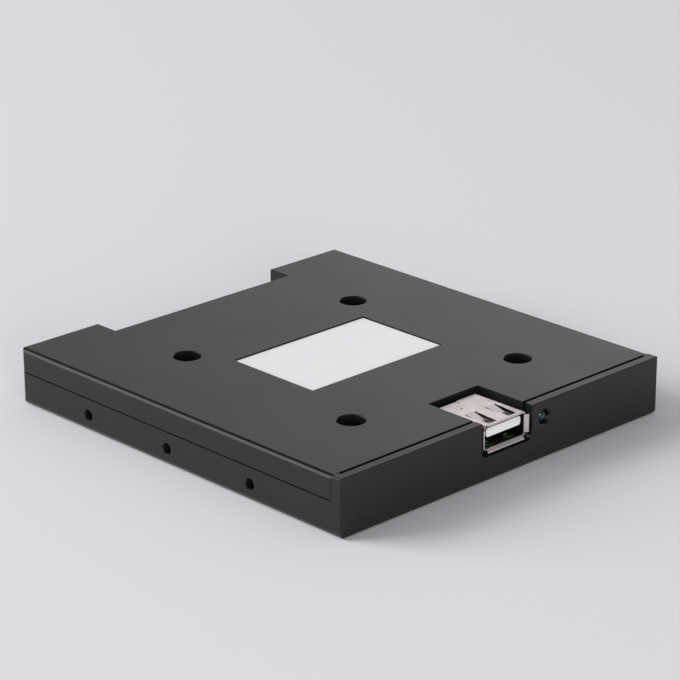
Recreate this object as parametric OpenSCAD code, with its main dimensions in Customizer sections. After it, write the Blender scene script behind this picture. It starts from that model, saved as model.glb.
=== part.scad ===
// Slim floppy drive emulator: a flat two-shell case round one circuit board.
// A USB socket and a status lamp face the front, and a 26-way flat-cable socket
// with a sliding latch sits in a recess at the rear.
// Millimetres, +Z up, front face towards -Y, origin at the middle of the underside.

/* [Case] */
// Width of the case from side to side
body_w = 101.6; // [98:0.2:112]
// Length of the case from the front face to the rear ends
body_l = 107; // [104:0.5:125]
// Height of the case
body_h = 14; // [13.8:0.1:17]
// Height of the joint between the two shells
seam_z = 8; // [7.8:0.1:8.6]
// Open height of the joint line
seam_gap = 0.3; // [0.1:0.05:0.4]
// Thickness of the side and rear walls
wall_t = 2; // [1.7:0.1:2.4]
// Thickness of the floor
floor_t = 1.8; // [1.2:0.1:2.2]
// Thickness of the cover's top
roof_t = 1.8; // [1.4:0.1:2.2]
// Radius of the bottom edges
base_r = 1.5; // [0.5:0.1:1.7]
// Radius of the cover's top edges at the sides
top_r = 1; // [0.4:0.1:1.3]
// Radius of the cover's top edges at the rear
rear_r = 0.3; // [0.1:0.1:1]
// Radius of the rear upright corners
corner_r = 1; // [0.4:0.1:1.6]
// Small radius that breaks the front panel's upright edges
break_r = 0.35; // [0.1:0.05:0.5]
// Small radius that breaks the front panel's upper edges
crest_r = 0.15; // [0.1:0.05:0.5]

/* [Front panel] */
// Thickness of the front panel
panel_t = 2.1; // [1.8:0.1:2.6]
// Gap between the panel and the cover's front edge
cover_gap = 0.9; // [0.5:0.1:1.3]
// Radius of the port notch's lower corners
port_r = 1.2; // [0.4:0.1:1.6]
// Gap between the socket's side lips and the port notch
port_side_gap = 0.7; // [0.35:0.05:1]
// Gap between the socket's lower lip and the port notch
port_floor_gap = 0.75; // [0.3:0.05:1.2]
// Gap between the socket's rear and the cover's cut-out
port_rear_gap = 1.3; // [0.8:0.1:3]
// Distance of the lamp from the middle of the panel
lamp_x = 12.2; // [11.6:0.1:16]
// Distance of the lamp's axis below the case's top
lamp_drop = 4; // [3.8:0.05:4.1]
// Diameter of the lamp
lamp_d = 3; // [2.5:0.1:3.2]
// Radial gap between the lamp and its hole
lamp_gap = 0.15; // [0.05:0.05:0.3]

/* [Rear recess] */
// Width of the recess between the two rear arms
recess_w = 56; // [46:0.5:60]
// Depth of the recess
recess_d = 6.75; // [5:0.25:9]

/* [Screw wells] */
// Distance between the wells across the case
well_pitch_x = 53.4; // [48:0.2:60]
// Distance between the wells along the case
well_pitch_y = 54.3; // [50:0.1:57]
// Distance of the front wells from the front face
well_front = 21.7; // [20:0.1:25]
// Diameter of a well
well_d = 6.5; // [5.8:0.1:7.5]
// Wall of a well's tube
well_wall = 1.4; // [1:0.1:2]
// Thickness of a well's floor
well_floor = 1.8; // [1.2:0.1:2]
// Outer diameter of the screw's thread
screw_d = 2.5; // [2.2:0.1:2.8]
// Length of the screw under its head
screw_l = 6.5; // [5.5:0.5:7]
// Diameter of the screw's head
head_d = 4.6; // [4:0.1:5.2]
// Height of the screw's head
head_h = 1.6; // [1.2:0.1:1.8]

/* [Side holes] */
// Diameter of the mounting holes in the sides
side_hole_d = 2.6; // [2:0.1:3.2]
// Height of the mounting holes above the underside
side_hole_z = 4.05; // [3.8:0.05:4.3]
// Distance of the first mounting hole from the front face
side_first = 28.3; // [24:0.1:32]
// Distance between neighbouring mounting holes
side_pitch = 27.3; // [22:0.1:30]
// Depth of the boss behind a mounting hole
side_boss_l = 3; // [1:0.5:3]

/* [Label] */
// Width of the label across the case
label_w = 41.1; // [30:0.1:43]
// Length of the label along the case
label_l = 25.9; // [16:0.1:34]
// Distance of the label's middle in front of the case's middle
label_shift = 0.2; // [0:0.1:2]
// Thickness of the label
label_t = 0.12; // [0.08:0.02:0.2]
// Depth of the label's recess in the cover
label_sink = 0.4; // [0.2:0.05:0.6]
// Gap round the label in its recess
label_gap = 0.2; // [0.1:0.05:0.5]

/* [Circuit board] */
// Thickness of the board
board_t = 1.6; // [1.2:0.2:1.6]
// Gap between the board and the walls before and behind it
board_gap = 0.5; // [0.3:0.1:0.8]
// Gap between the board's sides and the bosses of the mounting holes
board_side_gap = 0.8; // [0.3:0.1:3]

/* [USB socket] */
// Distance of the socket's shell below the case's top
usb_drop = 1.05; // [0.8:0.05:1.2]
// Outer width of the socket's shell
usb_w = 13.1; // [12.8:0.1:13.4]
// Outer height of the socket's shell
usb_h = 5.75; // [5.5:0.05:5.9]
// Length of the socket from its lips to its rear
usb_l = 15.3; // [13.5:0.1:17]
// Offset of the socket to the left of the case's middle
usb_offset = 0.3; // [0:0.05:0.3]
// Thickness of the socket's sheet metal
usb_metal_t = 0.3; // [0.2:0.05:0.4]
// Outer radius of the shell's bent long edges
usb_bend_r = 0.55; // [0.45:0.05:0.8]
// Outward flare of the socket's side lips
usb_flare = 0.75; // [0.4:0.05:0.8]
// Outward flare of the socket's upper lip
usb_flare_top = 0.25; // [0.1:0.05:0.5]
// Outward flare of the socket's lower lip
usb_flare_base = 0.65; // [0.3:0.05:0.8]
// Length of the flared lips along the socket
usb_lip = 0.6; // [0.4:0.1:1]
// Width of the tongue
tongue_w = 11.1; // [10.6:0.1:11.4]
// Thickness of the tongue
tongue_t = 2.1; // [1.7:0.05:2.2]
// Radius of the tongue's long edges
tongue_r = 0.7; // [0.3:0.05:0.8]
// Distance of the tongue's front behind the front face
tongue_setback = 1; // [0.6:0.1:2]
// Gap between the tongue and the shell's top
tongue_gap = 0.6; // [0.4:0.05:0.7]

/* [Flat-cable socket] */
// Number of contacts
way_count = 26; // [10:2:26]
// Distance between neighbouring contacts
way_pitch = 1; // [0.8:0.05:1]
// Height of the housing
cable_h = 2.5; // [2.4:0.1:2.7]
// Depth of the housing along the case
cable_d = 4.6; // [4.4:0.1:5.2]
// Travel of the latch from shut to open
latch_travel = 1.2; // [0.8:0.1:1.3]
// Thickness of the latch's bar
latch_t = 1.3; // [1:0.1:1.6]
// Running gap between the latch and the housing
latch_gap = 0.1; // [0.06:0.01:0.14]

/* [Chips] */
// Side of the microcontroller's square body
mcu_w = 7; // [6:0.5:8]
// Contacts along each side of the microcontroller
mcu_ways = 12; // [8:1:12]
// Distance between the microcontroller's contacts
mcu_pitch = 0.5; // [0.4:0.05:0.5]
// Length of a line driver's body
driver_l = 8.65; // [8.3:0.05:9.2]
// Length of the memory chip's body
memory_l = 4.9; // [4.7:0.1:5.6]
// Width of a small-outline chip's body
chip_w = 3.9; // [3.6:0.1:4.4]
// Height of a chip's body
chip_h = 1.4; // [1:0.1:1.6]
// Length of the crystal's can
crystal_l = 10.6; // [9.5:0.1:11.4]
// Height of the crystal's can
crystal_h = 3.2; // [2.4:0.1:3.4]

/* [Hidden] */

$fn = 48;
// Overlap that lets a cut or a joint run past a face
e = 0.5;
// Length that is past everything
far = 60;

case_black = [0.13, 0.13, 0.135];
board_green = [0.05, 0.33, 0.16];
paper_white = [0.92, 0.92, 0.93];
plate_metal = [0.78, 0.76, 0.74];
pale_plastic = [0.93, 0.93, 0.92];
beige_plastic = [0.88, 0.84, 0.72];
brown_plastic = [0.3, 0.18, 0.1];
chip_black = [0.07, 0.07, 0.07];
cap_tan = [0.62, 0.5, 0.36];
cap_amber = [0.85, 0.6, 0.15];
lamp_green = [0.12, 0.3, 0.28];
contact_gold = [0.85, 0.68, 0.32];

half_w = body_w / 2;
front_y = -body_l / 2;
rear_y = body_l / 2;
panel_y = front_y + panel_t;
cover_y = panel_y + cover_gap;
recess_y = rear_y - recess_d;
roof_z = body_h - roof_t;
usb_top = body_h - usb_drop;
board_top = usb_top - usb_h;
board_z = board_top - board_t;
board_w = body_w - 2 * (wall_t + side_boss_l + board_side_gap);
board_front = panel_y + board_gap;
board_rear = recess_y - wall_t - board_gap;

// A lip on the lower shell stands behind the joint line and centres the cover.
lip_t = 0.9;
lip_h = 1.2;
lip_gap = 0.15;
lip_setback = 1.5;
joint_gap = 0.15;
rib_t = 1;
rib_h = 1.2;
rib_end_gap = 3;
ledge_h = 1.2;
ledge_reach = 0.8;
ledge_gap = 0.3;
hole_chamfer = 0.15;
lamp_chamfer = 0.35;
well_chamfer = 0.2;

seat_z = board_top + well_floor;
screw_gap = 0.2;
screw_bite = 0.15;
screw_hole_r = screw_d / 2 + screw_gap;
pilot_r = screw_d / 2 - screw_bite;
screw_boss_wall = 1.9;
screw_boss_r = screw_d / 2 + screw_boss_wall;
well_y = [front_y + well_front, front_y + well_front + well_pitch_y];
well_x = [-well_pitch_x / 2, well_pitch_x / 2];
post_r = 1.6;
post_in = 3;
pilot_spare = 0.5;

side_hole_y = [for (i = [0:2]) front_y + side_first + i * side_pitch];
side_hole_r = side_hole_d / 2;
side_boss_wall = 1.4;
side_boss_r = side_hole_r + side_boss_wall;
least_r = 0.2;

usb_z = board_top;
usb_rear = front_y + usb_l;
port_w = usb_w + 2 * (usb_flare + port_side_gap);
port_z = usb_z - usb_flare_base - port_floor_gap;
port_rear = usb_rear + port_rear_gap;
skirt_t = 1;
skirt_gap = 0.3;
tongue_top = usb_top - usb_metal_t - tongue_gap;
tongue_z = tongue_top - tongue_t;
tongue_front = front_y + tongue_setback;
contact_in = 0.9;
contact_front = tongue_front + contact_in;
block_l = 4.3;
block_front = usb_rear - block_l;
usb_pin_x = [-3.5, -1, 1, 3.5];
usb_pin_w = 1;
usb_pin_t = 0.3;
pin_drop = 1;
usb_pin_in = 1.6;
usb_pin_y = usb_rear - usb_pin_in;
usb_leg_in = 6.5;
usb_leg_y = usb_rear - usb_leg_in;
usb_leg_w = 2.4;
usb_leg_drop = 0.8;
lip_corner = 0.75;
step_x = 0;
step_l = 0.35;
dimple_r = 0.3;
dimple_depth = 0.12;
dimple_at = [[-2.6, 11.2], [-0.6, 14.1]];
finger_x = 3.2;
finger_root = 8.1;
finger_bend = 4.2;
finger_tip = 3.3;
finger_w = 2.6;
finger_tip_w = 1.3;
finger_gap = 0.4;
finger_lift = 0.12;
finger_dip = tongue_gap - finger_lift;
finger_curl = 0.3;
window_front = 1.2;
window_front_w = 2.5;

lamp_z = body_h - lamp_drop;
lamp_setback = 0.35;
lamp_front = front_y + lamp_setback;
lamp_l = 5.3;
lamp_flange_t = 1;
lamp_flange_reach = 0.4;
lamp_flange_r = lamp_d / 2 + lamp_flange_reach;
lamp_rear = lamp_front + lamp_l;
lead_wire = 0.5;
lead_spread = 2.54;
lead_reach = 1.8;
lead_y = lamp_rear + lead_reach;

cable_end = 3;
cable_w = (way_count - 1) * way_pitch + 2 * cable_end;
latch_proud = 0.35;
cable_rear = recess_y - latch_t - latch_gap + latch_proud;
cable_front = cable_rear - cable_d;
slot_end = 0.7;
slot_w = way_count * way_pitch + 2 * slot_end;
slot_floor = 0.8;
slot_z = board_top + slot_floor;
slot_h = 0.95;
slot_d = 3.4;
way_w = 0.4;
arm_t = 1;
arm_l = 3;
arm_h = 1.3;
hook_l = 0.7;
hook_d = 0.35;
arm_lift = 0.6;
arm_z = board_top + arm_lift;
arm_front = cable_rear - arm_l;
latch_y = cable_rear + latch_gap;
latch_w = cable_w + 2 * (latch_gap + arm_t);
window_side_gap = 0.8;
window_floor_gap = 0.3;
window_roof_gap = 0.6;
window_w = latch_w + 2 * window_side_gap;
window_z = board_top - window_floor_gap;
window_top = board_top + cable_h + window_roof_gap;

// Middle of each part on the board
mcu_at = [-6, -22];
memory_at = [9, -24];
driver_at = [[-11, 14], [11, 14]];
crystal_at = [-20, -12];
regulator_at = [22, -14];
bulk_in = 10;
bulk_x = board_w / 2 - bulk_in;
bulk_at = [[bulk_x, -22], [bulk_x, -10], [-bulk_x, -20]];
small_pitch = 2.6;
capacitor_row = [-9.9, -14.6];
capacitor_column = [-bulk_x, 8];
capacitor_side_x = 20;
capacitor_at = [
    for (i = [0:3]) capacitor_row + [i * small_pitch, 0],
    for (i = [0:3]) capacitor_column + [0, i * small_pitch],
    for (side = [-1, 1]) [side * capacitor_side_x, driver_at[0].y]
];
resistor_row = [-9.1, 25];
resistor_front = [14, -34];
resistor_at = [
    for (i = [0:7]) resistor_row + [i * small_pitch, 0],
    for (side = [-1, 1], i = [0:2]) [side * (resistor_front.x + i * small_pitch), resistor_front.y]
];
small_l = 2;
small_w = 1.25;
small_end = 0.35;
small_h = 0.5;
bulk_size = [6, 3.2, 2.5];
regulator_size = [6.5, 3.5, 1.6];
chip_lift = 0.1;
chip_pitch = 1.27;
crystal_w = 4.2;
crystal_lead_x = 2.44;

// What a square corner loses when it is rounded
module corner_off(r) {
    difference() {
        translate([-e, -e]) square(r + e);
        translate([r, r]) circle(r);
    }
}

// Rectangle from low to high with rounded front and rear corners
module soft_rect(low, high, front_r, rear_r) {
    difference() {
        translate(low) square(high - low);
        if (front_r > 0) {
            translate(low) corner_off(front_r);
            translate([high.x, low.y]) mirror([1, 0]) corner_off(front_r);
        }
        if (rear_r > 0) {
            translate(high) rotate(180) corner_off(rear_r);
            translate([low.x, high.y]) mirror([0, 1]) corner_off(rear_r);
        }
    }
}

// Plan of the case from the line front to the rear, drawn in by inset
module case_plan(front, inset, front_r) {
    difference() {
        soft_rect(
            [-half_w + inset, front],
            [half_w - inset, rear_y - inset],
            front_r,
            max(corner_r - inset, least_r)
        );
        translate([-recess_w / 2 - inset, recess_y - inset])
            square([recess_w + 2 * inset, recess_d + far]);
    }
}

// Turns a shape over when asked
module turned(over) {
    if (over) {
        mirror([0, 0, 1]) children();
    } else {
        children();
    }
}

// Cutter that rounds an edge on the X axis of a solid at +Y and +Z
module edge_off(length, r) {
    rotate([90, 0, 90])
        translate([0, 0, -length / 2])
            linear_extrude(length)
                corner_off(r);
}

// Cutters that round the two sides and the rear, at a bottom or a top edge
module rim_off(z, side_r, back_r, over) {
    length = body_l + far;
    for (side = [-1, 1])
        translate([side * half_w, 0, z])
            turned(over) rotate(side * 90) edge_off(length, side_r);
    translate([0, rear_y, z])
        turned(over) rotate(180) edge_off(body_w + far, back_r);
}

module at_wells() {
    for (x = well_x, y = well_y)
        translate([x, y, 0]) children();
}

// Places a shape at each mounting hole, with its axis pointing into the case
module at_side_holes() {
    for (side = [-1, 1], y = side_hole_y)
        translate([side * half_w, y, side_hole_z])
            rotate([0, -side * 90, 0]) children();
}

// Hole along Z from the outer face inwards, with a small chamfer at its mouth
module round_hole(r, depth, chamfer) {
    translate([0, 0, -e]) cylinder(r = r, h = depth + e);
    translate([0, 0, -e]) cylinder(r1 = r + chamfer + e, r2 = r, h = chamfer + e);
}

// Notch in the front panel, open at the top
module port_notch() {
    translate([0, panel_y + e, 0])
        rotate([90, 0, 0])
            linear_extrude(panel_t + 2 * e)
                soft_rect([-port_w / 2, port_z], [port_w / 2, body_h + e], port_r, 0);
}

module front_panel() {
    length = body_w + far;
    difference() {
        union() {
            linear_extrude(body_h)
                soft_rect([-half_w, front_y], [half_w, panel_y], break_r, 0);
            panel_returns();
        }
        translate([0, front_y, 0]) edge_off(length, base_r / 2);
        translate([0, front_y, body_h]) turned(true) edge_off(length, crest_r);
        rim_off(0, base_r, base_r, false);
        rim_off(body_h, break_r, break_r, true);
    }
}

// Short walls that carry the panel's ends back to the cover, flush with its top
module panel_returns() {
    length = cover_y - joint_gap - panel_y + e;
    foot_z = floor_t + base_r;
    for (side = [-1, 1])
        translate([side * (half_w - wall_t / 2) - wall_t / 2, panel_y - e, foot_z])
            cube([wall_t, length, body_h - foot_z]);
}

// Ledge behind the panel that closes the gap before the cover from below
module panel_ledge() {
    ledge_d = cover_gap + ledge_reach;
    ledge_z = roof_z - ledge_gap - ledge_h;
    reach = half_w - wall_t - ledge_gap;
    port_side = port_w / 2 + skirt_t + 2 * ledge_gap;
    lamp_side = lamp_x + lamp_flange_r + ledge_reach;
    translate([-reach, panel_y - e, ledge_z]) cube([reach - port_side, ledge_d + e, ledge_h]);
    translate([lamp_side, panel_y - e, ledge_z]) cube([reach - lamp_side, ledge_d + e, ledge_h]);
}

module cable_window() {
    translate([-window_w / 2, recess_y - wall_t - e, window_z])
        cube([window_w, wall_t + 2 * e, window_top - window_z]);
}

// Lip behind the joint line, open at the panel and at the cable socket
module seam_lip() {
    lip_front = cover_y + lip_setback;
    difference() {
        translate([0, 0, seam_z - e])
            linear_extrude(lip_h + e)
                difference() {
                    case_plan(lip_front, wall_t - lip_t, 0);
                    case_plan(lip_front - e, wall_t, 0);
                }
        cable_window();
    }
}

module floor_ribs() {
    reach = half_w - wall_t + e;
    rib_front = board_front + rib_end_gap;
    rib_rear = board_rear - rib_end_gap;
    rib_x = well_pitch_x / 2;
    for (y = [well_y[0], (well_y[0] + well_y[1]) / 2, well_y[1]])
        translate([-reach, y - rib_t / 2, floor_t - e]) cube([2 * reach, rib_t, rib_h + e]);
    for (x = [-rib_x, rib_x])
        translate([x - rib_t / 2, rib_front, floor_t - e])
            cube([rib_t, rib_rear - rib_front, rib_h + e]);
}

// Posts under the board: one at each screw and one near each corner
module board_posts() {
    rise = board_z - floor_t + e;
    at_wells() translate([0, 0, floor_t - e]) cylinder(r = screw_boss_r, h = rise);
    for (x = [-board_w / 2 + post_in, board_w / 2 - post_in])
        for (y = [board_front + post_in, board_rear - post_in])
            translate([x, y, floor_t - e]) cylinder(r = post_r, h = rise);
}

module tray() {
    difference() {
        linear_extrude(seam_z) case_plan(front_y, 0, break_r);
        translate([0, 0, floor_t]) linear_extrude(seam_z) case_plan(panel_y, wall_t, 0);
        translate([0, front_y, 0]) edge_off(body_w + far, base_r / 2);
        rim_off(0, base_r, base_r, false);
    }
}

module bottom_case() {
    color(case_black)
        difference() {
            union() {
                tray();
                front_panel();
                panel_ledge();
                seam_lip();
                floor_ribs();
                board_posts();
                at_side_holes()
                    translate([0, 0, wall_t / 2])
                        cylinder(r = side_boss_r, h = wall_t / 2 + side_boss_l);
            }
            port_notch();
            cable_window();
            translate([lamp_x, front_y, lamp_z])
                rotate([-90, 0, 0]) round_hole(lamp_d / 2 + lamp_gap, panel_t + e, lamp_chamfer);
            at_wells()
                translate([0, 0, seat_z - screw_l - pilot_spare]) cylinder(r = pilot_r, h = far);
            at_side_holes() round_hole(side_hole_r, wall_t + side_boss_l + e, hole_chamfer);
        }
}

// Walls that hang from the cover round the port's cut-out
module port_skirt() {
    skirt_z = board_top + skirt_gap;
    translate([0, 0, skirt_z])
        linear_extrude(roof_z + e - skirt_z)
            difference() {
                translate([-port_w / 2 - skirt_t, cover_y])
                    square([port_w + 2 * skirt_t, port_rear + skirt_t - cover_y]);
                translate([-port_w / 2, cover_y - e])
                    square([port_w, port_rear - cover_y + e]);
            }
}

module roof_ribs() {
    rib_front = port_rear + rib_end_gap;
    rib_rear = recess_y - wall_t - rib_end_gap;
    for (x = [-well_pitch_x / 2, 0, well_pitch_x / 2])
        translate([x - rib_t / 2, rib_front, roof_z - rib_h])
            cube([rib_t, rib_rear - rib_front, rib_h + e]);
}

module well_tubes() {
    at_wells()
        translate([0, 0, board_top]) cylinder(d = well_d + 2 * well_wall, h = roof_z + e - board_top);
}

module cover_shell() {
    foot_z = seam_z + seam_gap;
    rebate_top = seam_z + lip_h + lip_gap;
    difference() {
        translate([0, 0, foot_z])
            linear_extrude(body_h - foot_z) case_plan(cover_y, 0, 0);
        translate([0, 0, foot_z - e])
            linear_extrude(roof_z - foot_z + e) case_plan(cover_y - e, wall_t, 0);
        translate([0, 0, foot_z - e])
            linear_extrude(rebate_top - foot_z + e) case_plan(cover_y - e, wall_t - lip_t - lip_gap, 0);
        rim_off(body_h, top_r, rear_r, true);
        cable_window();
    }
}

module top_cover() {
    recess_size = [label_w + 2 * label_gap, label_l + 2 * label_gap, label_sink + e];
    color(case_black)
        difference() {
            union() {
                cover_shell();
                port_skirt();
                roof_ribs();
                well_tubes();
            }
            translate([-port_w / 2, cover_y - e, roof_z - e])
                cube([port_w, port_rear - cover_y + e, roof_t + 2 * e]);
            translate([-recess_size.x / 2, -recess_size.y / 2 - label_shift, body_h - label_sink])
                cube(recess_size);
            at_wells() {
                translate([0, 0, seat_z]) cylinder(d = well_d, h = far);
                translate([0, 0, board_top - e]) cylinder(r = screw_hole_r, h = far);
                translate([0, 0, body_h - well_chamfer])
                    cylinder(r1 = well_d / 2, r2 = well_d / 2 + well_chamfer + e, h = well_chamfer + e);
            }
        }
}

module label() {
    color(paper_white)
        translate([-label_w / 2, -label_l / 2 - label_shift, body_h - label_sink])
            cube([label_w, label_l, label_t]);
}

// Screw with a domed cross-slot head on the well's floor and a plain shank
module case_screw() {
    point_l = 1;
    point_d = 0.8;
    rim_h = 0.9;
    crown_d = 3.2;
    cross = [2.8, 0.7];
    cross_z = 0.7;
    translate([0, 0, seat_z])
        difference() {
            union() {
                cylinder(d = head_d, h = rim_h);
                translate([0, 0, rim_h]) cylinder(d1 = head_d, d2 = crown_d, h = head_h - rim_h);
                translate([0, 0, point_l - screw_l]) cylinder(d = screw_d, h = screw_l - point_l + e);
                translate([0, 0, -screw_l]) cylinder(d1 = point_d, d2 = screw_d, h = point_l);
            }
            for (turn = [0, 90])
                rotate(turn)
                    translate([-cross.x / 2, -cross.y / 2, cross_z]) cube([cross.x, cross.y, head_h]);
        }
}

module case_screws() {
    color(plate_metal) at_wells() case_screw();
}

// Places a shape on the middle plane of the USB socket
module at_usb() {
    translate([-usb_offset, 0, 0]) children();
}

// Profile of a bent wire or strip in the Y-Z plane, extruded across X
module across(width) {
    rotate([90, 0, 90])
        translate([0, 0, -width / 2])
            linear_extrude(width) children();
}

module circuit_board() {
    hole = 0.5;
    pin_hole = 0.6;
    leg_hole = [2 * hole, usb_leg_w + hole, far];
    corner = 1;
    color(board_green)
        translate([0, 0, board_z])
            difference() {
                linear_extrude(board_t)
                    soft_rect([-board_w / 2, board_front], [board_w / 2, board_rear], corner, corner);
                at_wells() translate([0, 0, -e]) cylinder(r = screw_hole_r, h = far);
                at_usb() {
                    for (x = usb_pin_x)
                        translate([x, usb_pin_y, -e]) cylinder(r = pin_hole, h = far);
                    for (side = [-1, 1])
                        translate([side * (usb_w - usb_metal_t) / 2 - hole, usb_leg_y - leg_hole.y / 2, -e])
                            cube(leg_hole);
                }
                for (side = [-1, 1]) {
                    translate([lamp_x + side * lead_spread / 2, lead_y, -e])
                        cylinder(r = hole, h = far);
                    translate([crystal_at.x + side * crystal_lead_x, crystal_at.y, -e])
                        cylinder(r = hole, h = far);
                }
            }
}

// Flared lip at the front end of a plate on the X-Y plane, outer face up
module flared_lip(width, flare) {
    across(width)
        polygon([
            [0, flare], [0, flare + usb_metal_t], [usb_lip, usb_metal_t],
            [usb_lip + e, usb_metal_t], [usb_lip + e, 0], [usb_lip, 0]
        ]);
}

// Plan of a spring finger or of its window, from the root to the narrower front end
module finger_outline(root_w, end_w, end_y) {
    polygon([
        [-root_w / 2, finger_root], [root_w / 2, finger_root],
        [end_w / 2, end_y], [-end_w / 2, end_y]
    ]);
}

// Spring finger, free on three sides and pressed inwards, with a curled tip
module finger() {
    tip_z = finger_curl - finger_dip;
    intersection() {
        across(finger_w + e)
            polygon([
                [finger_root + e, usb_metal_t], [finger_root + e, 0], [finger_root, 0],
                [finger_bend, -finger_dip], [finger_tip, tip_z],
                [finger_tip, tip_z + usb_metal_t], [finger_bend, usb_metal_t - finger_dip],
                [finger_root, usb_metal_t]
            ]);
        translate([0, 0, -far / 2]) linear_extrude(far) {
            finger_outline(finger_w, finger_tip_w, finger_tip);
            translate([-finger_w / 2, finger_root]) square([finger_w, e]);
        }
    }
}

// Places a shape on the upper plate, outer face up
module at_upper_plate() {
    translate([0, front_y, usb_top - usb_metal_t]) children();
}

// Places a shape on the lower plate, outer face down
module at_lower_plate() {
    translate([0, front_y, usb_z + usb_metal_t]) mirror([0, 0, 1]) children();
}

module at_fingers() {
    for (side = [-1, 1])
        translate([side * finger_x, 0, 0]) children();
}

module finger_windows() {
    translate([0, 0, -e])
        at_fingers()
            linear_extrude(usb_metal_t + 2 * e)
                finger_outline(finger_w + 2 * finger_gap, window_front_w, window_front);
}

// Tube of bent sheet metal along Y, open at the front and under the block
module usb_tube() {
    half = [usb_w / 2, usb_h / 2];
    inner = half - [usb_metal_t, usb_metal_t];
    inner_r = usb_bend_r - usb_metal_t;
    difference() {
        translate([0, usb_rear, usb_z + usb_h / 2])
            rotate([90, 0, 0])
                linear_extrude(usb_l - usb_lip)
                    difference() {
                        soft_rect(-half, half, usb_bend_r, usb_bend_r);
                        soft_rect(-inner, inner, inner_r, inner_r);
                    }
        at_upper_plate() finger_windows();
        at_lower_plate() finger_windows();
        translate([-inner.x, block_front, usb_z - e]) cube([2 * inner.x, block_l + e, usb_h / 2]);
        translate([-usb_w, usb_rear - step_l, usb_z + usb_h / 2]) cube([usb_w + step_x, step_l + e, usb_h]);
        for (at = dimple_at)
            translate([at.x, front_y + at.y, usb_top - dimple_depth])
                cylinder(r1 = dimple_r / 2, r2 = dimple_r, h = dimple_depth + e / 10);
    }
}

// Plan of the socket's rear sheet, whose left half stands a little further in
module jogged_sheet(reach) {
    t = usb_metal_t;
    polygon([
        [-reach, -step_l], [step_x, -step_l], [step_x, 0], [reach, 0],
        [reach, -t], [step_x + t, -t], [step_x + t, -step_l - t], [-reach, -step_l - t]
    ]);
}

module usb_shield() {
    leg_z = board_z - usb_leg_drop;
    lip_w = usb_w - 2 * lip_corner;
    color(plate_metal) at_usb() {
        usb_tube();
        at_upper_plate() {
            flared_lip(lip_w, usb_flare_top);
            at_fingers() finger();
        }
        at_lower_plate() {
            flared_lip(lip_w, usb_flare_base);
            at_fingers() finger();
        }
        for (side = [-1, 1]) {
            translate([side * (usb_w / 2 - usb_metal_t), front_y, usb_z + usb_h / 2])
                rotate([0, side * 90, 0])
                    flared_lip(usb_h - 2 * lip_corner, usb_flare);
            translate([side * (usb_w - usb_metal_t) / 2, usb_leg_y, leg_z])
                translate([-usb_metal_t / 2, -usb_leg_w / 2, 0])
                    cube([usb_metal_t, usb_leg_w, usb_z + usb_h / 2 - leg_z]);
        }
        translate([0, usb_rear, usb_z + usb_h / 2])
            linear_extrude((usb_h - usb_metal_t) / 2)
                jogged_sheet(usb_w / 2 - usb_bend_r);
    }
}

// Contact strip under the tongue that turns down through the block to the board
module usb_contact() {
    pin_z = board_z - pin_drop;
    half = usb_pin_t / 2;
    across(usb_pin_w)
        polygon([
            [contact_front, tongue_z], [contact_front, tongue_z + usb_pin_t],
            [usb_pin_y + half, tongue_z + usb_pin_t], [usb_pin_y + half, pin_z],
            [usb_pin_y - half, pin_z], [usb_pin_y - half, tongue_z]
        ]);
}

module usb_contacts() {
    color(contact_gold) at_usb()
        for (x = usb_pin_x)
            translate([x, 0, 0]) usb_contact();
}

module usb_insulator() {
    block_half = usb_w / 2 - usb_metal_t;
    block_r = usb_bend_r - usb_metal_t;
    block_rear = usb_rear - step_l - usb_metal_t;
    tongue_half = [tongue_w / 2, tongue_t / 2];
    color(pale_plastic) at_usb()
        difference() {
            union() {
                translate([0, block_rear, usb_z])
                    rotate([90, 0, 0])
                        linear_extrude(block_rear - block_front)
                            soft_rect([-block_half, 0], [block_half, usb_h - usb_metal_t], 0, block_r);
                translate([0, block_front + e, tongue_z + tongue_half.y])
                    rotate([90, 0, 0])
                        linear_extrude(block_front + e - tongue_front)
                            soft_rect(-tongue_half, tongue_half, tongue_r, tongue_r);
            }
            for (x = usb_pin_x)
                translate([x, 0, 0]) {
                    usb_contact();
                    translate([-usb_pin_w / 2, contact_front, tongue_z - e])
                        cube([usb_pin_w, block_front - contact_front, usb_pin_t + e]);
                }
        }
}

module status_lamp() {
    r = lamp_d / 2;
    color(lamp_green)
        translate([lamp_x, lamp_front, lamp_z])
            rotate([-90, 0, 0])
                rotate_extrude()
                    intersection() {
                        square([far, far]);
                        union() {
                            translate([0, r]) circle(r);
                            translate([0, r]) square([r, lamp_l - r]);
                            translate([0, lamp_l - lamp_flange_t])
                                square([lamp_flange_r, lamp_flange_t]);
                        }
                    }
}

module lamp_leads() {
    half = lead_wire / 2;
    foot_z = board_z - pin_drop;
    color(plate_metal)
        for (side = [-1, 1])
            translate([lamp_x + side * lead_spread / 2, 0, 0])
                across(lead_wire)
                    polygon([
                        [lamp_rear, lamp_z + half], [lead_y + half, lamp_z + half],
                        [lead_y + half, foot_z], [lead_y - half, foot_z],
                        [lead_y - half, lamp_z - half], [lamp_rear, lamp_z - half]
                    ]);
}

// Contact of the cable socket: a foot on the board and a sprung arm in the slot
module cable_contact() {
    t = 0.2;
    foot = 1.1;
    rise_in = 0.4;
    tip_in = 0.9;
    bump_in = 1.6;
    rise_y = cable_front + rise_in;
    tip = cable_rear - tip_in;
    bump_y = cable_rear - bump_in;
    across(way_w)
        polygon([
            [cable_front - foot, board_top], [cable_front - foot, board_top + t],
            [rise_y, board_top + t], [rise_y, slot_z], [bump_y - 2 * t, slot_z],
            [bump_y, slot_z + t], [bump_y + 2 * t, slot_z], [tip, slot_z],
            [tip, slot_z - t], [rise_y + t, slot_z - t], [rise_y + t, board_top]
        ]);
}

module at_ways() {
    for (i = [0:way_count - 1])
        translate([(i - (way_count - 1) / 2) * way_pitch, 0, 0]) children();
}

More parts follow.
